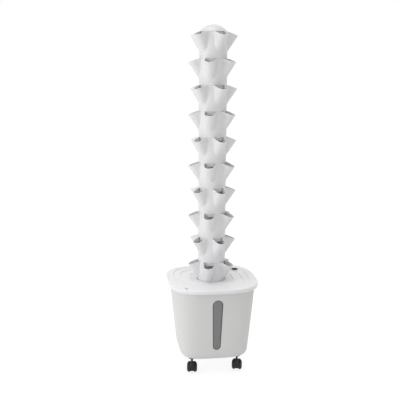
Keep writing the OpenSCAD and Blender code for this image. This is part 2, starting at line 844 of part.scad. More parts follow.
module front_left_caster_stem() { caster_stem(0); }
module front_left_caster_hood() { caster_hood(0); }
module front_left_caster_axle() { caster_axle(0); }
module front_left_caster_left_wheel() { caster_wheel(0, -1); }
module front_left_caster_right_wheel() { caster_wheel(0, 1); }
module front_right_caster_stem() { caster_stem(1); }
module front_right_caster_hood() { caster_hood(1); }
module front_right_caster_axle() { caster_axle(1); }
module front_right_caster_left_wheel() { caster_wheel(1, -1); }
module front_right_caster_right_wheel() { caster_wheel(1, 1); }
module rear_right_caster_stem() { caster_stem(2); }
module rear_right_caster_hood() { caster_hood(2); }
module rear_right_caster_axle() { caster_axle(2); }
module rear_right_caster_left_wheel() { caster_wheel(2, -1); }
module rear_right_caster_right_wheel() { caster_wheel(2, 1); }
module rear_left_caster_stem() { caster_stem(3); }
module rear_left_caster_hood() { caster_hood(3); }
module rear_left_caster_axle() { caster_axle(3); }
module rear_left_caster_left_wheel() { caster_wheel(3, -1); }
module rear_left_caster_right_wheel() { caster_wheel(3, 1); }

tank();
window_seal();
level_window();
lid();
fill_plug();
tower_module_01();
tower_module_02();
tower_module_03();
tower_module_04();
tower_module_05();
tower_module_06();
tower_module_07();
tower_module_08();
tower_module_09();
tower_module_10();
dome_cap();
water_distributor();
riser_lower();
riser_middle();
riser_upper();
riser_coupling_lower();
riser_coupling_upper();
pump_body();
pump_volute_cover();
pump_intake_cover();
pump_rotor();
pump_shaft();
pump_shaft_bushes();
pump_outlet_adapter();
pump_suction_feet();
pump_cable_gland();
front_left_caster_stem();
front_left_caster_hood();
front_left_caster_axle();
front_left_caster_left_wheel();
front_left_caster_right_wheel();
front_right_caster_stem();
front_right_caster_hood();
front_right_caster_axle();
front_right_caster_left_wheel();
front_right_caster_right_wheel();
rear_right_caster_stem();
rear_right_caster_hood();
rear_right_caster_axle();
rear_right_caster_left_wheel();
rear_right_caster_right_wheel();
rear_left_caster_stem();
rear_left_caster_hood();
rear_left_caster_axle();
rear_left_caster_left_wheel();
rear_left_caster_right_wheel();
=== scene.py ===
import json
import math

import bmesh
import bpy
from mathutils import Matrix, Vector


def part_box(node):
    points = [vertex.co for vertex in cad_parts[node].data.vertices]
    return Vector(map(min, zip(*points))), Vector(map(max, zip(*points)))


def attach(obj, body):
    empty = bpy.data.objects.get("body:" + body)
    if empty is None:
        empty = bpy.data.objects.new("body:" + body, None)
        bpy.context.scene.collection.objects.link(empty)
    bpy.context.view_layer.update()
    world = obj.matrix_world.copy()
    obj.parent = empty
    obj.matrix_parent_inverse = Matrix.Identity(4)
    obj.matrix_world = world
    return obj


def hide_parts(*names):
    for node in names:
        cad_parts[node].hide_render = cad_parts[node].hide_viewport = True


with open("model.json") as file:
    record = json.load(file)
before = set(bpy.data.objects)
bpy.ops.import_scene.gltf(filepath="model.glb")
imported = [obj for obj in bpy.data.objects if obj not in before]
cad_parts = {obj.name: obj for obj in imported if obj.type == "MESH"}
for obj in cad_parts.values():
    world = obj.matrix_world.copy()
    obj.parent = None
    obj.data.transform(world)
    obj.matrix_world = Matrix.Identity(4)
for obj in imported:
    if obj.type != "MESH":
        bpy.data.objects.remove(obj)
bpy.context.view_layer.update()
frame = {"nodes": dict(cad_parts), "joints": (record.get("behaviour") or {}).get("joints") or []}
nodes = frame["nodes"]
joints = {joint["name"]: joint for joint in frame["joints"]}

# Lengths are in metres, in the frame of the CAD model. Those read from the frame come first.
tank_low, tank_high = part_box("tank")
lid_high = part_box("lid")[1]
module_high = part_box("tower_module_10")[1]
dome_low, dome_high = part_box("dome_cap")
plug_low, plug_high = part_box("fill_plug")
riser_low, riser_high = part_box("riser_lower")
coupling_low, coupling_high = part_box("riser_coupling_lower")
riser_r = (riser_high.x - riser_low.x) / 2
coupling_r = (coupling_high.x - coupling_low.x) / 2
layers = 10
layer_pitch = (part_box("tower_module_01")[1].z - module_high.z) / (layers - 1)
seat = module_high.z - layer_pitch

# Shared by several pieces
gap = 0.0003
chamfer = 0.0004
overshoot = 0.01

# Tank
tank_half_top = 0.161
tank_half_bottom = 0.133
tank_wall = 0.0026
tank_round = 0.030
tank_power_top = 3.4
tank_power_bottom = 4.6
rim_lip = 0.005
rim_lip_h = 0.0043
tank_rows = 16
underside = tank_low.z
rim = tank_high.z
wall_foot = underside + tank_round
tank_lean = math.atan((tank_half_top - tank_half_bottom) / (rim - wall_foot))

# Sockets for the casters' stems, on the tank's floor
stem_r = 0.004
socket_r = 0.009
socket_foot = underside + 0.0005
socket_top = underside + 0.026
socket_end = underside + 0.0223
socket_edge = 0.0008

# Level window, in the plane of the tank's front wall
window_foot = underside + 0.0449
window_head = rim - 0.0402
window_mid = (window_foot + window_head) / 2
window_length = (window_head - window_foot) / math.cos(tank_lean)
window_r_top = 0.020
window_r_bottom = 0.015
seal_w = 0.002
seal_front = 0.0004
seal_back = 0.0040
seal_edge = 0.0006
pane_face = 0.0010
pane_back = 0.0045
pane_bevel = 0.0010
pane_bulge = 0.0005
pane_reach = 0.0135
pane_middle = 0.0155

# Lid: its band and terraces, its two holes, the rib inside the tank, the foot of the tower and the hub
lid_half = lid_high.x
lid_top = lid_high.z
lid_t = 0.0024
lid_band_h = 0.014
band_draft = 0.0012
lid_edge_r = 0.004
lid_power = 3.1
dish_step = 0.0013
riser_run = 0.0016
bead = 0.001
terraces = [(0.845, 3.3), (0.69, 3.5), (0.48, 3.3)]
vent_at = (-0.6615 * lid_half, -0.767 * lid_half)
fill_at = ((plug_low.x + plug_high.x) / 2, (plug_low.y + plug_high.y) / 2)
vent_r = 0.005
fill_r = 0.011
plug_head_w = 0.002
plug_lead = 0.0005
plug_lead_h = 0.0006
head_side = 0.0008
head_shoulder = 0.0015
head_round = 0.0016
dimple_r = 0.0058
dimple_edge = 0.001
dimple_h = 0.0007
dimple_sag = 0.0001
land_w = 0.004
land_h = 0.0037
land_edge_in = 0.0002
land_edge_out = 0.0003
land_rise = 0.00015
rib_half = 0.1554
rib_w = 0.002
rib_h = 0.009
notch_w = 0.0015
vent_flare = 0.004
vent_flare_h = 0.006
vent_land = 0.0006
skirt_h = 0.016
foot_groove_w = 0.0034
foot_groove_h = 0.005
groove_step = 0.0006
hub_wall = 0.004
hub_h = 0.005
hub_rib_w = 0.003
hub_ribs = 4
rib_step = 0.0008
rib_overlap = 0.0005

# Planting module
tube_r = 0.0527
tube_wall = 0.0024
sleeve_h = 0.022
sleeve_r = tube_r - 0.0006
line_z = 0.011
line_profile = [(0, -0.0006), (0.0004, -0.0002), (0.0004, 0.0003), (-0.0001, 0.0006)]
spigot_h = 0.012
spigot_r = tube_r - tube_wall - gap
pockets = 5
pocket_reach = 0.092
pocket_wall = 0.0023
pocket_r = 0.019 + pocket_wall
lip_z = layer_pitch - 0.014
pocket_depth = 0.057
flank_spread = 0.002
flank_inset = 0.016
crease_blend = 0.0025
flank_blend = 0.007
rim_blend = 0.003
taper = math.radians(3)
rim_over = 0.001
tilt = math.atan((pocket_reach - tube_r) / pocket_depth) - taper
rim_tilt = math.atan((layer_pitch + rim_over - lip_z) / (pocket_reach - tube_r))
mouth_at = pocket_reach - pocket_r * math.cos(tilt)
mouth_z = lip_z + pocket_r * math.sin(tilt)
pocket_columns = 52
module_rows = 30
search_in = 0.001
search_out = 0.03
search_down = 0.01
reach_halvings = 26
rim_halvings = 18
rim_steps = 240
mouth_edge = 0.0006
guide_gap = 0.0004
guide_wall = 0.002
guide_h = 0.006
guide_rib_w = 0.002
guide_overlap = 0.0018

# Dome cap
dome_wall = 0.0022
dome_edge = 0.0006
dome_rows = 14

# Casters, on their own swivel axis with the wheels trailing towards +Y
wheel_r = 0.019
wheel_w = 0.014
wheel_bore = 0.0031
tread = [(0.006, 0), (0.0033, 0.0003), (0.0012, 0.0013), (0.0003, 0.0027), (0, 0.0041)]
hub_cap = [(0.0106, 0.0008), (0.0098, 0.0008), (0.009, 0.0002), (0.0045, 0), (0, 0)]
cap_t = 0.0016
caster_trail = 0.021
web_w = 0.009
wheel_gap = 0.0012
hood_in = wheel_r + 0.0012
hood_out = hood_in + 0.002
hood_w = 0.031
hood_wall = 0.0018
fender_edge = [(0, -0.0032), (0.0002, -0.0020), (0.0010, -0.0011), (0.0024, -0.0005)]
hood_voxel = 0.0007
web_inset = 0.005
hood_from = -24
hood_arc = 136
hood_rows = 24
hood_edge = 0.001
arm_overlap = 0.001
boss_r = 0.007
boss_foot = wheel_r + 0.55 * hood_in
boss_top = underside - 0.0205
corners = ["front_left", "front_right", "rear_right", "rear_left"]


# Materials

gloss_spread = 0.04
relief_depth = 0.0004


def plastic(name, colour, roughness, grain=0.0012, bump=0.06, mottle=0.03, shine=0.5):
    """Moulded plastic: a slight cloudiness, a fine skin and a gloss that varies a little."""
    material = bpy.data.materials.new(name)
    material.use_nodes = True
    tree = material.node_tree
    shader = tree.nodes["Principled BSDF"]
    shader.inputs["Specular IOR Level"].default_value = shine
    place = tree.nodes.new("ShaderNodeTexCoord")
    cloud = tree.nodes.new("ShaderNodeTexNoise")
    cloud.inputs["Scale"].default_value = 22
    cloud.inputs["Detail"].default_value = 3
    skin = tree.nodes.new("ShaderNodeTexNoise")
    skin.inputs["Scale"].default_value = 1 / grain
    skin.inputs["Detail"].default_value = 2
    tint = tree.nodes.new("ShaderNodeMix")
    tint.data_type = "RGBA"
    tint.inputs["A"].default_value = (*[c * (1 - mottle) for c in colour], 1)
    tint.inputs["B"].default_value = (*colour, 1)
    gloss = tree.nodes.new("ShaderNodeMapRange")
    gloss.inputs["To Min"].default_value = roughness - gloss_spread
    gloss.inputs["To Max"].default_value = roughness + gloss_spread
    relief = tree.nodes.new("ShaderNodeBump")
    relief.inputs["Strength"].default_value = bump
    relief.inputs["Distance"].default_value = relief_depth
    link = tree.links.new
    link(place.outputs["Object"], cloud.inputs["Vector"])
    link(place.outputs["Object"], skin.inputs["Vector"])
    link(cloud.outputs["Fac"], tint.inputs["Factor"])
    link(cloud.outputs["Fac"], gloss.inputs["Value"])
    link(skin.outputs["Fac"], relief.inputs["Height"])
    link(tint.outputs["Result"], shader.inputs["Base Color"])
    link(gloss.outputs["Result"], shader.inputs["Roughness"])
    link(relief.outputs["Normal"], shader.inputs["Normal"])
    return material


def turned_steel():
    """Bright steel with a fine grain."""
    material = plastic("turned_steel", (0.55, 0.55, 0.56), 0.3, grain=0.0008, bump=0.1)
    material.node_tree.nodes["Principled BSDF"].inputs["Metallic"].default_value = 1
    return material


module_white = plastic("module_white", (0.785, 0.785, 0.795), 0.42)
# The dome cap's white is darker than the modules' white: painted shade, a shaded copy of the same white
# plastic standing in for the grey shading on the dome
dome_painted_shade_white = plastic("dome_painted_shade_white", (0.70, 0.70, 0.71), 0.42)
lid_white = plastic("lid_white", (0.82, 0.82, 0.83), 0.34, bump=0.04)
tank_grey = plastic("tank_grey", (0.68, 0.68, 0.67), 0.5, grain=0.0009, bump=0.1)
window_smoke = plastic("window_smoke", (0.21, 0.21, 0.215), 0.35, bump=0.02, mottle=0.08)
seal_rubber = plastic("seal_rubber", (0.10, 0.10, 0.10), 0.6, bump=0.1)
plug_rubber = plastic("plug_rubber", (0.008, 0.008, 0.009), 0.6, bump=0.15, mottle=0.2, shine=0.2)
caster_nylon = plastic("caster_nylon", (0.014, 0.014, 0.016), 0.5, grain=0.0007, bump=0.2, mottle=0.2,
                       shine=0.35)
wheel_nylon = plastic("wheel_nylon", (0.014, 0.014, 0.016), 0.55, grain=0.0007, bump=0.2, mottle=0.2,
                      shine=0.35)
pipe_white = plastic("pipe_white", (0.72, 0.74, 0.76), 0.3)
pump_black = plastic("pump_black", (0.02, 0.02, 0.023), 0.45, mottle=0.15)
rotor_grey = plastic("rotor_grey", (0.05, 0.05, 0.06), 0.4)
steel = turned_steel()


# Outlines

def soft_ring(half, power, z, columns=144):
    """A square with soft sides and corners at one height; a higher power is squarer, and 2 is a circle."""
    ring = []
    for k in range(columns):
        c, s = math.cos(2 * math.pi * k / columns), math.sin(2 * math.pi * k / columns)
        reach = half / (abs(c) ** power + abs(s) ** power) ** (1 / power)
        ring.append((reach * c, reach * s, z))
    return ring


def round_ring(radius, z, columns=64):
    return soft_ring(radius, 2, z, columns)


def quarter(steps):
    """The angles of a quarter round, without its start."""
    return [math.radians(90 * step / steps) for step in range(1, steps + 1)]


def smooth_min(a, b, blend):
    """The lower of two values, with the corner between them rounded off."""
    h = max(blend - abs(a - b), 0) / blend
    return min(a, b) - h * h * blend / 4


# Modelling helpers

smooth_to = 35
weld = 0.000002


def finish_piece(piece, smooth=smooth_to):
    """Closes seams and poles, turns every face outwards and shades the piece smooth up to an angle."""
    bpy.ops.object.mode_set(mode="EDIT")
    bpy.ops.mesh.select_all(action="SELECT")
    bpy.ops.mesh.remove_doubles(threshold=weld)
    bpy.ops.mesh.normals_make_consistent(inside=False)
    bpy.ops.object.mode_set(mode="OBJECT")
    outermost = max(piece.data.polygons, key=lambda face: face.center.xy.length)
    if outermost.normal.xy.dot(outermost.center.xy) < 0:
        bpy.ops.object.mode_set(mode="EDIT")
        bpy.ops.mesh.flip_normals()
        bpy.ops.object.mode_set(mode="OBJECT")
    bpy.ops.object.shade_smooth_by_angle(angle=math.radians(smooth))
    return piece


def ring_piece(name, rings, smooth=smooth_to):
    """Grows a mesh from a circle: each ring is extruded from the last and moved to its own places."""
    bpy.ops.object.select_all(action="DESELECT")
    bpy.ops.mesh.primitive_circle_add(vertices=len(rings[0]), radius=1, fill_type="NOTHING")
    piece = bpy.context.object
    piece.name = piece.data.name = name
    bpy.ops.object.mode_set(mode="EDIT")
    mesh = bmesh.from_edit_mesh(piece.data)
    column = mesh.verts.layers.int.new("column")
    for vert in mesh.verts:
        vert[column] = vert.index
    for k, ring in enumerate(rings):
        if k > 0:
            bpy.ops.mesh.extrude_edges_move()
        mesh = bmesh.from_edit_mesh(piece.data)
        column = mesh.verts.layers.int["column"]
        for vert in mesh.verts:
            if vert.select:
                vert.co = ring[vert[column]]
        bmesh.update_edit_mesh(piece.data)
    bpy.ops.object.mode_set(mode="OBJECT")
    piece.data.attributes.remove(piece.data.attributes["column"])
    return finish_piece(piece, smooth)


def sheet_piece(name, rows):
    """A grid whose points are moved to the given rows of places."""
    bpy.ops.object.select_all(action="DESELECT")
    bpy.ops.mesh.primitive_grid_add(x_subdivisions=len(rows[0]) - 1, y_subdivisions=len(rows) - 1)
    piece = bpy.context.object
    piece.name = piece.data.name = name
    for vert, place in zip(piece.data.vertices, [place for row in rows for place in row]):
        vert.co = place
    return finish_piece(piece)


def apply_modifier(piece, kind, **settings):
    """Adds a modifier with these settings and applies it."""
    bpy.ops.object.select_all(action="DESELECT")
    piece.select_set(True)
    bpy.context.view_layer.objects.active = piece
    modifier = piece.modifiers.new(kind.lower(), kind)
    for setting, value in settings.items():
        setattr(modifier, setting, value)
    bpy.ops.object.modifier_apply(modifier=modifier.name)


def thicken(piece, wall, round_edges=0.0):
    """Gives a skin its wall, on the inside, and rounds the edges of its openings."""
    apply_modifier(piece, "SOLIDIFY", thickness=wall, offset=-1, use_even_offset=True,
                   use_quality_normals=True)
    if round_edges:
        apply_modifier(piece, "BEVEL", width=round_edges, segments=2, limit_method="ANGLE",
                       angle_limit=math.radians(60))
    bpy.ops.object.shade_smooth_by_angle(angle=math.radians(smooth_to))


def cut(piece, cutter):
    """Cuts the cutter out of the piece and removes it."""
    apply_modifier(piece, "BOOLEAN", object=cutter, operation="DIFFERENCE", solver="EXACT", use_self=True)
    bpy.data.objects.remove(cutter)
    bpy.ops.object.shade_smooth_by_angle(angle=math.radians(smooth_to))


def join(piece, *others):
    """Makes one object of several."""
    bpy.ops.object.select_all(action="DESELECT")
    for other in (*others, piece):
        other.select_set(True)
    bpy.context.view_layer.objects.active = piece
    bpy.ops.object.join()
    return piece


def turned(name, profile, at=(0, 0), columns=64):
    """A solid of revolution on an upright axis, from a profile of radii and heights."""
    piece = ring_piece(name, [round_ring(r, z, columns) for r, z in profile])
    piece.data.transform(Matrix.Translation((*at, 0)))
    return piece


def rod(radius, low, high, at):
    """A plain upright cylinder that drills a round hole."""
    return turned("drill", [(0, low), (radius, low), (radius, high), (0, high)], at)


def ring_bar(inner, outer, low, high):
    """A flat ring on the axis Z with chamfered edges."""
    return turned("ring", [
        (inner, low + chamfer), (inner, high - chamfer), (inner + chamfer, high), (outer - chamfer, high),
        (outer, high - chamfer), (outer, low + chamfer), (outer - chamfer, low), (inner + chamfer, low),
        (inner, low + chamfer)])


def block(middle, size):
    """A plain box."""
    bpy.ops.object.select_all(action="DESELECT")
    bpy.ops.mesh.primitive_cube_add(size=1, location=middle, scale=size)
    bpy.ops.object.transform_apply(location=True, rotation=True, scale=True)
    return bpy.context.object


def spoke(reach_from, reach_to, width, low, high, turn):
    """A straight rib that points away from the axis Z at an angle."""
    middle = ((reach_from + reach_to) / 2, 0, (low + high) / 2)
    bar = block(middle, (reach_to - reach_from, width, high - low))
    apply_modifier(bar, "BEVEL", width=chamfer, segments=1)
    bar.data.transform(Matrix.Rotation(math.radians(turn), 4, "Z"))
    return bar


def copy_to(piece, name, matrix):
    """A copy with its own mesh, moved to its place."""
    twin = piece.copy()
    twin.data = piece.data.copy()
    twin.name = twin.data.name = name
    twin.data.transform(matrix)
    bpy.context.scene.collection.objects.link(twin)
    return twin


def place_piece(piece, body, slot, material, *replaced):
    """Gives a piece its finish and its body, and hides the CAD nodes that it stands for."""
    piece.data.materials.clear()
    piece.data.materials.append(material)
    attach(piece, body)
    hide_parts(*replaced)


# Tank

def tank_half(z):
    return tank_half_bottom + (tank_half_top - tank_half_bottom) * (z - wall_foot) / (rim - wall_foot)


def tank_power(z):
    share = max(0, z - wall_foot) / (rim - wall_foot)
    return tank_power_bottom + (tank_power_top - tank_power_bottom) * share


def make_tank():
    """The tank: a skin from the middle of its underside to its lip, the window's slot and the sockets."""
    flat = tank_half_bottom - tank_round
    rings = [soft_ring(share * flat, tank_power_bottom, underside) for share in (0, 0.5, 1)]
    for angle in quarter(8):
        rings.append(soft_ring(tank_half_bottom - tank_round * (1 - math.sin(angle)), tank_power_bottom,
                               underside + tank_round * (1 - math.cos(angle))))
    lip_foot = rim - rim_lip_h - rim_lip
    for step in range(1, tank_rows + 1):
        z = wall_foot + (lip_foot - wall_foot) * step / tank_rows
        rings.append(soft_ring(tank_half(z), tank_power(z), z))
    rings.append(soft_ring(tank_half_top + rim_lip, lid_power, rim - rim_lip_h))
    rings.append(soft_ring(tank_half_top + rim_lip, lid_power, rim))
    rings.append(soft_ring(tank_half_top - tank_wall / 2, tank_power_top, rim))
    tank = ring_piece("tank_shell", rings)
    thicken(tank, tank_wall)
    front, back = -overshoot, 2 * overshoot
    cut(tank, ring_piece("window_cutter", [
        slot_ring(0, front, True), slot_ring(0, front), slot_ring(0, back), slot_ring(0, back, True)]))
    bore = stem_r + gap
    skins = []
    for name in corners:
        at = joints[name + "_swivel"]["pos_m"][:2]
        cut(tank, rod(bore, underside - overshoot, underside + overshoot, at))
        skins.append(turned("stem_socket", [(bore, socket_foot), (bore, socket_end), (0, socket_end)], at))
        skins.append(turned("stem_socket_skin", [
            (bore, socket_foot), (socket_r, socket_foot), (socket_r, socket_top - socket_edge),
            (socket_r - socket_edge, socket_top), (0, socket_top)], at))
    return join(tank, *skins)


# Level window and its seal

def slot_ring(inset, depth, point=False, columns=64):
    """The window's outline in the plane of the front wall, drawn in and at a depth under its surface.

    With point set, the outline is drawn together into its middle line, which closes a face.
    """
    r_top, r_bottom = window_r_top - inset, window_r_bottom - inset
    top = window_length / 2 - window_r_top
    bottom = window_r_bottom - window_length / 2
    spread = math.asin((window_r_top - window_r_bottom) / (top - bottom))
    ring = []
    for k in range(columns):
        if k < columns // 2:
            share = k / (columns // 2 - 1)
            angle = -spread + (math.pi + 2 * spread) * share
            x, up = r_top * math.cos(angle), top + r_top * math.sin(angle)
        else:
            share = (k - columns // 2) / (columns // 2 - 1)
            angle = math.pi + spread + (math.pi - 2 * spread) * share
            x, up = r_bottom * math.cos(angle), bottom + r_bottom * math.sin(angle)
        if point:
            x = 0
        y = -tank_half(window_mid) - up * math.sin(tank_lean) + depth * math.cos(tank_lean)
        z = window_mid + up * math.cos(tank_lean) + depth * math.sin(tank_lean)
        ring.append((x, y, z))
    return ring


def make_window():
    """The smoky pane: a bevelled edge and a face that bulges a little."""
    edge = seal_w + gap
    soft = 0.3 * pane_bevel
    rings = [slot_ring(edge, pane_back, True), slot_ring(edge, pane_back),
             slot_ring(edge, pane_face + pane_bevel), slot_ring(edge + soft, pane_face + soft),
             slot_ring(edge + pane_bevel, pane_face)]
    for share in (0.3, 0.6, 0.9):
        bulge = pane_bulge * math.sin(share * math.pi / 2)
        rings.append(slot_ring(edge + pane_bevel + pane_reach * share, pane_face - bulge))
    rings.append(slot_ring(pane_middle, pane_face - pane_bulge, True))
    return ring_piece("window_pane", rings)


def make_seal():
    """The rubber seal: a round-edged collar between the tank's slot and the pane."""
    shoulder = seal_front + seal_edge
    profile = [(gap, seal_back), (gap, shoulder), (gap + chamfer, seal_front),
               (seal_w - chamfer, seal_front), (seal_w, shoulder), (seal_w, seal_back), (gap, seal_back)]
    return ring_piece("window_gasket", [slot_ring(inset, depth) for inset, depth in profile])


# Lid

def make_lid():
    """The lid: band, rounded edge, rim, three terraces, dish, collar, skirt, holes, rib and spider."""
    upright = lid_band_h - lid_edge_r
    rings = [soft_ring(lid_half - band_draft * (1 - s), lid_power, lid_top - lid_band_h + s * upright)
             for s in (0, 0.5, 1)]
    for angle in quarter(6):
        rings.append(soft_ring(lid_half - lid_edge_r * (1 - math.cos(angle)), lid_power,
                               lid_top - lid_edge_r * (1 - math.sin(angle))))
    half, power, z = lid_half - lid_edge_r, lid_power, lid_top
    for share, next_power in terraces:
        edge = share * lid_half
        near = edge + 2 * bead
        drop = dish_step + bead
        rings += [soft_ring(half + (near - half) * s, power + (next_power - power) * s, z)
                  for s in (0.1, 0.4, 0.8, 1)]
        rings.append(soft_ring(edge, next_power, z + bead / 2))
        rings += [soft_ring(edge - riser_run * s, next_power, z - drop * s) for s in (0.15, 0.5, 0.85, 1)]
        half, power, z = edge - riser_run - bead, next_power, z - dish_step
        rings.append(soft_ring(half, power, z - bead / 2))
    collar = sleeve_r + gap
    edge = collar + foot_groove_w
    rings += [soft_ring(half + (edge - half) * s, power + (2 - power) * s, z) for s in (0.4, 0.8, 0.99)]
    bore = spigot_r + gap
    groove_z = z - foot_groove_h
    rings += [soft_ring(r, 2, height) for r, height in (
        (edge, z - chamfer), (edge - chamfer, groove_z), (collar, groove_z - groove_step), (collar, seat),
        (bore, seat), (bore, seat - skirt_h))]
    lid = ring_piece("lid_shell", rings)
    thicken(lid, lid_t)
    above, below = lid_top + overshoot, lid_top - 2 * overshoot
    flare_z = lid_top - vent_flare_h
    cut(lid, turned("vent_drill", [
        (0, flare_z), (vent_r + vent_flare, flare_z), (vent_r, lid_top - vent_land), (vent_r, above),
        (0, above)], vent_at))
    cut(lid, rod(fill_r, below, above, fill_at))
    rib_top = lid_top - lid_t / 2
    rib_foot = lid_top - lid_t - rib_h
    rib_in = rib_half - rib_w
    rib = ring_piece("locating_rib", [soft_ring(half, tank_power_top, z) for half, z in (
        (rib_in, rib_top), (rib_in, rib_foot + chamfer), (rib_in + chamfer, rib_foot),
        (rib_half - chamfer, rib_foot), (rib_half, rib_foot + chamfer), (rib_half, rib_top),
        (rib_in, rib_top))])
    cut(rib, rod(vent_r + notch_w, below, above, vent_at))
    low = seat - skirt_h
    hub = ring_bar(riser_r + gap, riser_r + gap + hub_wall, low, low + hub_h)
    spider = [spoke(riser_r + hub_wall, bore + rib_overlap, hub_rib_w, low + rib_step,
                    low + hub_h - rib_step, 360 * (k + 0.5) / hub_ribs) for k in range(hub_ribs)]
    out = fill_r + land_w
    land = turned("fill_land", [(r, lid_top + z) for r, z in (
        (fill_r, -land_h), (fill_r, -land_edge_in), (fill_r + chamfer, land_rise),
        (out - chamfer, land_rise), (out, -land_edge_out), (out, -land_h), (fill_r, -land_h))], fill_at)
    return join(lid, rib, hub, *spider, land)


def make_plug():
    """The filling hole's plug: a domed head with a dimple, on a stem."""
    head = fill_r + plug_head_w
    low, top = plug_low.z, plug_high.z
    seat_z = lid_top + gap
    stem = fill_r - gap
    return turned("filling_plug", [
        (0, low), (stem - plug_lead, low), (stem, low + plug_lead_h), (stem, seat_z), (head, seat_z),
        (head, seat_z + head_side), (head - chamfer, seat_z + head_shoulder), (head - head_round, top),
        (dimple_r + dimple_edge, top), (dimple_r, top - dimple_h), (0, top - dimple_h - dimple_sag)], fill_at)


# Planting modules

def leaning_distance(x, y, z, radius, at, mouth_height):
    """Distance from a leaning, slightly tapering tube that has this radius at its mouth."""
    dx, dz = x - at, z - mouth_height
    along = dx * math.sin(tilt) + dz * math.cos(tilt)
    across = math.hypot(dx * math.cos(tilt) - dz * math.sin(tilt), y)
    return (across - radius) * math.cos(taper) - along * math.sin(taper)


def skin_reach(angle, z):
    """How far out the module's skin lies at an angle from a pocket's middle and a height."""
    near, far = tube_r - search_in, pocket_reach + search_out
    for _ in range(reach_halvings):
        reach = (near + far) / 2
        x, y = reach * math.cos(angle), reach * math.sin(angle)
        pocket = leaning_distance(x, y, z, pocket_r, mouth_at, mouth_z)
        flank = leaning_distance(x, y, z, pocket_r + flank_spread, mouth_at - flank_inset,
                                 mouth_z + flank_inset * math.tan(tilt))
        if smooth_min(reach - tube_r, smooth_min(pocket, flank, flank_blend), crease_blend) < 0:
            near = reach
        else:
            far = reach
    return near


def rim_point(angle):
    """Reach and height of the module's upper edge, which dips along each pocket's mouth."""
    low, high = lip_z - search_down, layer_pitch + rim_over
    for _ in range(rim_halvings):
        z = (low + high) / 2
        reach = skin_reach(angle, z)
        mouth = lip_z + (pocket_reach - reach * math.cos(angle)) * math.tan(rim_tilt)
        if z < smooth_min(layer_pitch, mouth, rim_blend):
            low = z
        else:
            high = z
    return reach, low


def pocket_angles():
    """Angles of one pocket's columns, spread evenly along the module's upper edge."""
    half_turn = math.pi / pockets
    fine = [half_turn * (2 * k / rim_steps - 1) for k in range(rim_steps + 1)]
    edge = [(reach * math.cos(a), reach * math.sin(a), z) for a in fine for reach, z in [rim_point(a)]]
    run = [0]
    for a, b in zip(edge, edge[1:]):
        run.append(run[-1] + (Vector(b) - Vector(a)).length)
    angles, k = [], 0
    for step in range(pocket_columns):
        want = run[-1] * step / pocket_columns
        while run[k + 1] < want:
            k += 1
        angles.append(fine[k] + (fine[k + 1] - fine[k]) * (want - run[k]) / (run[k + 1] - run[k]))
    return angles


def make_module():
    """One planting module, its shoulder at z = 0: spigot, sleeve, five pockets and the riser's guide."""
    angles = pocket_angles()
    tops = [rim_point(angle) for angle in angles]
    rows = [[place] * pocket_columns for place in ((spigot_r, -spigot_h), (spigot_r, 0), (sleeve_r, 0))]
    rows += [[(sleeve_r - depth, line_z + z)] * pocket_columns for depth, z in line_profile]
    for step in range(module_rows + 1):
        heights = [sleeve_h + (top - sleeve_h) * step / module_rows for _, top in tops]
        rows.append([(skin_reach(angle, z), z) for angle, z in zip(angles, heights)])
    rings = []
    for row in rows:
        ring = []
        for pocket in range(pockets):
            turn = 2 * math.pi * pocket / pockets
            ring += [(r * math.cos(turn + a), r * math.sin(turn + a), z) for a, (r, z) in zip(angles, row)]
        rings.append(ring)
    module = ring_piece("planting_module", rings)
    thicken(module, pocket_wall, round_edges=mouth_edge)
    ring_r = coupling_r + guide_gap
    guide = ring_bar(ring_r, ring_r + guide_wall, 0, guide_h)
    reach = spigot_r - guide_overlap
    spokes = [spoke(ring_r + guide_wall / 2, reach, guide_rib_w, rib_step, guide_h - rib_step,
                    360 / pockets * (k + 0.5)) for k in range(pockets)]
    return join(module, guide, *spokes)


# Dome cap

def make_dome():
    """The dome cap: a shallow dome with a rounded foot, on a spigot."""
    foot = dome_low.z + spigot_h
    rise = dome_high.z - foot
    radius = (tube_r * tube_r + rise * rise) / (2 * rise)
    spread = math.asin(tube_r / radius)
    profile = [(spigot_r, dome_low.z), (spigot_r, foot), (tube_r - chamfer, foot),
               (tube_r, foot + dome_edge)]
    for step in range(1, dome_rows + 1):
        angle = spread * (1 - step / dome_rows) * 0.985
        profile.append((radius * math.sin(angle), dome_high.z - radius * (1 - math.cos(angle))))
    dome = turned("dome", profile, columns=128)
    thicken(dome, dome_wall)
    return dome


# Casters

def make_wheel():
    """One wheel on the axis X, its inner face at x = 0: rounded tread, domed face and hub cap."""
    profile = [(wheel_bore, 0)] + [(wheel_r - depth, x) for depth, x in tread]
    for angle in [0] + quarter(7):
        profile.append((wheel_r * (0.50 + 0.50 * math.cos(angle)),
                        wheel_w * (0.46 + 0.54 * math.sin(angle))))
    cap_back = wheel_w - cap_t
    profile += [(r, wheel_w - depth) for r, depth in hub_cap]
    profile += [(0, cap_back), (wheel_bore, cap_back), (wheel_bore, 0)]
    wheel = ring_piece("wheel", [round_ring(r, x, columns=72) for r, x in profile], smooth=30)
    wheel.data.transform(Matrix.Rotation(math.radians(90), 4, "Y"))
    return wheel


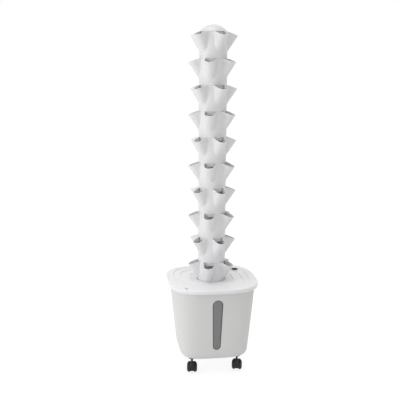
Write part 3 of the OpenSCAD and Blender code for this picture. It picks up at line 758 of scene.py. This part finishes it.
def make_hood():
    """One caster's hood: a crowned fender over both wheels, the web between them and the neck."""
    rows = []
    half = hood_w / 2
    section = [(inset - half, drop) for inset, drop in fender_edge]
    section += [(half * s, 0) for s in (-0.6, -0.3, 0)]
    section += [(-x, drop) for x, drop in reversed(section[:-1])]
    for step in range(hood_rows + 1):
        angle = math.radians(hood_from + hood_arc * step / hood_rows)
        along, up = math.cos(angle), math.sin(angle)
        rows.append([(x, caster_trail - (hood_out + drop) * along, wheel_r + (hood_out + drop) * up)
                     for x, drop in section])
    hood = sheet_piece("fender", rows)
    thicken(hood, hood_wall)
    web_r = wheel_r - web_inset
    side = web_w / 2
    web = turned("web", [(0, -side), (web_r - hood_edge, -side), (web_r, -side + hood_edge),
                         (web_r, side - hood_edge), (web_r - hood_edge, side), (0, side)])
    across = Matrix.Rotation(math.radians(90), 4, "Y")
    web.data.transform(Matrix.Translation((0, caster_trail, wheel_r)) @ across)
    neck = turned("neck", [(0, boss_foot), (boss_r, boss_foot), (boss_r, boss_top - hood_edge),
                           (boss_r - hood_edge, boss_top), (0, boss_top)])
    arm = block((0, caster_trail - hood_in / 2, (wheel_r + boss_foot) / 2 + arm_overlap / 2),
                (web_w, hood_in, boss_foot + arm_overlap - wheel_r))
    join(hood, web, neck, arm)
    apply_modifier(hood, "REMESH", mode="VOXEL", voxel_size=hood_voxel)
    apply_modifier(hood, "SMOOTH", factor=0.5, iterations=5)
    apply_modifier(hood, "DECIMATE", ratio=0.4)
    bpy.ops.object.shade_smooth_by_angle(angle=math.radians(50))
    return hood


# All pieces

tank = make_tank()
place_piece(tank, "base", "tank", tank_grey, "tank")
pane = make_window()
place_piece(pane, "base", "window", window_smoke, "level_window")
gasket = make_seal()
place_piece(gasket, "base", "seal_rubber", seal_rubber, "window_seal")
lid = make_lid()
place_piece(lid, "lid_and_tower", "lid", lid_white, "lid")
plug = make_plug()
place_piece(plug, "plug", "plug_rubber", plug_rubber, "fill_plug")
dome = make_dome()
# The dome gets the darker white that carries its painted shade
place_piece(dome, "dome", "dome", dome_painted_shade_white, "dome_cap")

module = make_module()
for n in range(1, layers + 1):
    turn = Matrix.Rotation(0 if n % 2 else math.pi, 4, "Z")
    lift = Matrix.Translation((0, 0, seat + (layers - n) * layer_pitch))
    copy = copy_to(module, "planting_module_%02d" % n, lift @ turn)
    place_piece(copy, "lid_and_tower", "module", module_white, "tower_module_%02d" % n)
bpy.data.objects.remove(module)

wheel = make_wheel()
hood = make_hood()
for corner in corners:
    axle = joints[corner + "_left_wheel_spin"]["axis"]
    swivel = joints[corner + "_swivel"]["pos_m"]
    heading = Matrix.Rotation(math.atan2(axle[1], axle[0]), 4, "Z")
    stand = Matrix.Translation((swivel[0], swivel[1], 0)) @ heading
    place_piece(copy_to(hood, corner + "_hood", stand), corner + "_caster", "caster_hood", caster_nylon,
                corner + "_caster_hood")
    for side, turn in (("left", math.pi), ("right", 0)):
        out = stand @ Matrix.Translation((0, caster_trail, wheel_r)) @ Matrix.Rotation(turn, 4, "Z")
        aside = Matrix.Translation((web_w / 2 + wheel_gap, 0, 0))
        twin = copy_to(wheel, corner + "_" + side + "_wheel_piece", out @ aside)
        place_piece(twin, corner + "_" + side + "_wheel", "caster_wheel", wheel_nylon,
                    corner + "_caster_" + side + "_wheel")
bpy.data.objects.remove(wheel)
bpy.data.objects.remove(hood)

# CAD nodes that keep their shape and get their finish here
finishes = {
    "water_distributor": pipe_white, "riser_lower": pipe_white, "riser_middle": pipe_white,
    "riser_upper": pipe_white, "riser_coupling_lower": pipe_white, "riser_coupling_upper": pipe_white,
    "pump_outlet_adapter": pipe_white,
    "pump_body": pump_black, "pump_volute_cover": pump_black, "pump_intake_cover": pump_black,
    "pump_rotor": rotor_grey, "pump_shaft": steel, "pump_shaft_bushes": plug_rubber,
    "pump_suction_feet": plug_rubber, "pump_cable_gland": plug_rubber,
}
for corner in corners:
    finishes[corner + "_caster_stem"] = caster_nylon
    finishes[corner + "_caster_axle"] = steel
for name, material in finishes.items():
    nodes[name].data.materials.clear()
    nodes[name].data.materials.append(material)


# Stage, light and camera

def camera_only(name, colour, camera_strength, share):
    """A pale surface that shows as plain white to the camera and still takes a soft shadow."""
    material = bpy.data.materials.new(name)
    material.use_nodes = True
    tree = material.node_tree
    shader = tree.nodes["Principled BSDF"]
    shader.inputs["Base Color"].default_value = (*colour, 1)
    shader.inputs["Roughness"].default_value = 0.9
    glow = tree.nodes.new("ShaderNodeEmission")
    glow.inputs["Strength"].default_value = camera_strength
    path = tree.nodes.new("ShaderNodeLightPath")
    seen = tree.nodes.new("ShaderNodeMath")
    seen.operation = "MAXIMUM"
    part = tree.nodes.new("ShaderNodeMath")
    part.operation = "MULTIPLY"
    part.inputs[1].default_value = share
    blend = tree.nodes.new("ShaderNodeMixShader")
    link = tree.links.new
    link(path.outputs["Is Camera Ray"], seen.inputs[0])
    link(path.outputs["Is Glossy Ray"], seen.inputs[1])
    link(seen.outputs["Value"], part.inputs[0])
    link(part.outputs["Value"], blend.inputs["Fac"])
    link(shader.outputs["BSDF"], blend.inputs[1])
    link(glow.outputs["Emission"], blend.inputs[2])
    link(blend.outputs["Shader"], tree.nodes["Material Output"].inputs["Surface"])
    return material


bpy.ops.object.select_all(action="DESELECT")
bpy.ops.mesh.primitive_plane_add(size=40)
floor = bpy.context.object
floor.name = "floor"
floor.data.materials.append(camera_only("studio_floor", (0.9, 0.9, 0.9), 1.18, 0.72))

# The room lights the object less brightly than it shows as the backdrop
room_light = 0.60
backdrop_light = 1.0
world = bpy.data.worlds.new("studio")
bpy.context.scene.world = world
world.use_nodes = True
sky = world.node_tree
room = sky.nodes["Background"]
room.inputs["Color"].default_value = (1, 1, 1, 1)
path = sky.nodes.new("ShaderNodeLightPath")
seen = sky.nodes.new("ShaderNodeMath")
seen.operation = "MAXIMUM"
also = sky.nodes.new("ShaderNodeMath")
also.operation = "MAXIMUM"
level = sky.nodes.new("ShaderNodeMapRange")
level.inputs["To Min"].default_value = room_light
level.inputs["To Max"].default_value = backdrop_light
sky.links.new(path.outputs["Is Camera Ray"], seen.inputs[0])
sky.links.new(path.outputs["Is Glossy Ray"], seen.inputs[1])
sky.links.new(seen.outputs["Value"], also.inputs[0])
sky.links.new(path.outputs["Is Transmission Ray"], also.inputs[1])
sky.links.new(also.outputs["Value"], level.inputs["Value"])
sky.links.new(level.outputs["Result"], room.inputs["Strength"])


def softbox(name, place, size, power, target=(0, 0, 0.6)):
    """A square studio lamp that faces the target."""
    lamp = bpy.data.lights.new(name, "AREA")
    lamp.size = size
    lamp.energy = power
    holder = bpy.data.objects.new(name, lamp)
    bpy.context.scene.collection.objects.link(holder)
    holder.location = place
    holder.rotation_euler = (Vector(target) - Vector(place)).to_track_quat("-Z", "Y").to_euler()


softbox("key", (-3.0, -0.9, 1.3), 2.0, 33)
softbox("top", (-0.4, -0.1, 7.0), 4.0, 170)

# The camera stands where the photograph was taken from
camera_distance = 2.5380
camera_height = 1.1453
camera_azimuth = math.radians(-9.704)
camera_pan = math.radians(1.031)
camera_pitch = math.radians(10.695)
camera_roll = math.radians(0.265)
camera_focal = 672.8
frame_width = 400

camera = bpy.data.objects.new("camera", bpy.data.cameras.new("camera"))
bpy.context.scene.collection.objects.link(camera)
bpy.context.scene.camera = camera
camera.data.sensor_width = 36
camera.data.lens = camera_focal * camera.data.sensor_width / frame_width
camera.location = (camera_distance * math.sin(camera_azimuth), -camera_distance * math.cos(camera_azimuth),
                   camera_height)
facing = Matrix.Rotation(camera_azimuth + camera_pan, 3, "Z")
level_view = facing @ Matrix.Rotation(math.pi / 2 - camera_pitch, 3, "X")
camera.rotation_euler = (level_view @ Matrix.Rotation(camera_roll, 3, "Z")).to_euler()

bpy.context.scene.view_settings.view_transform = "Standard"
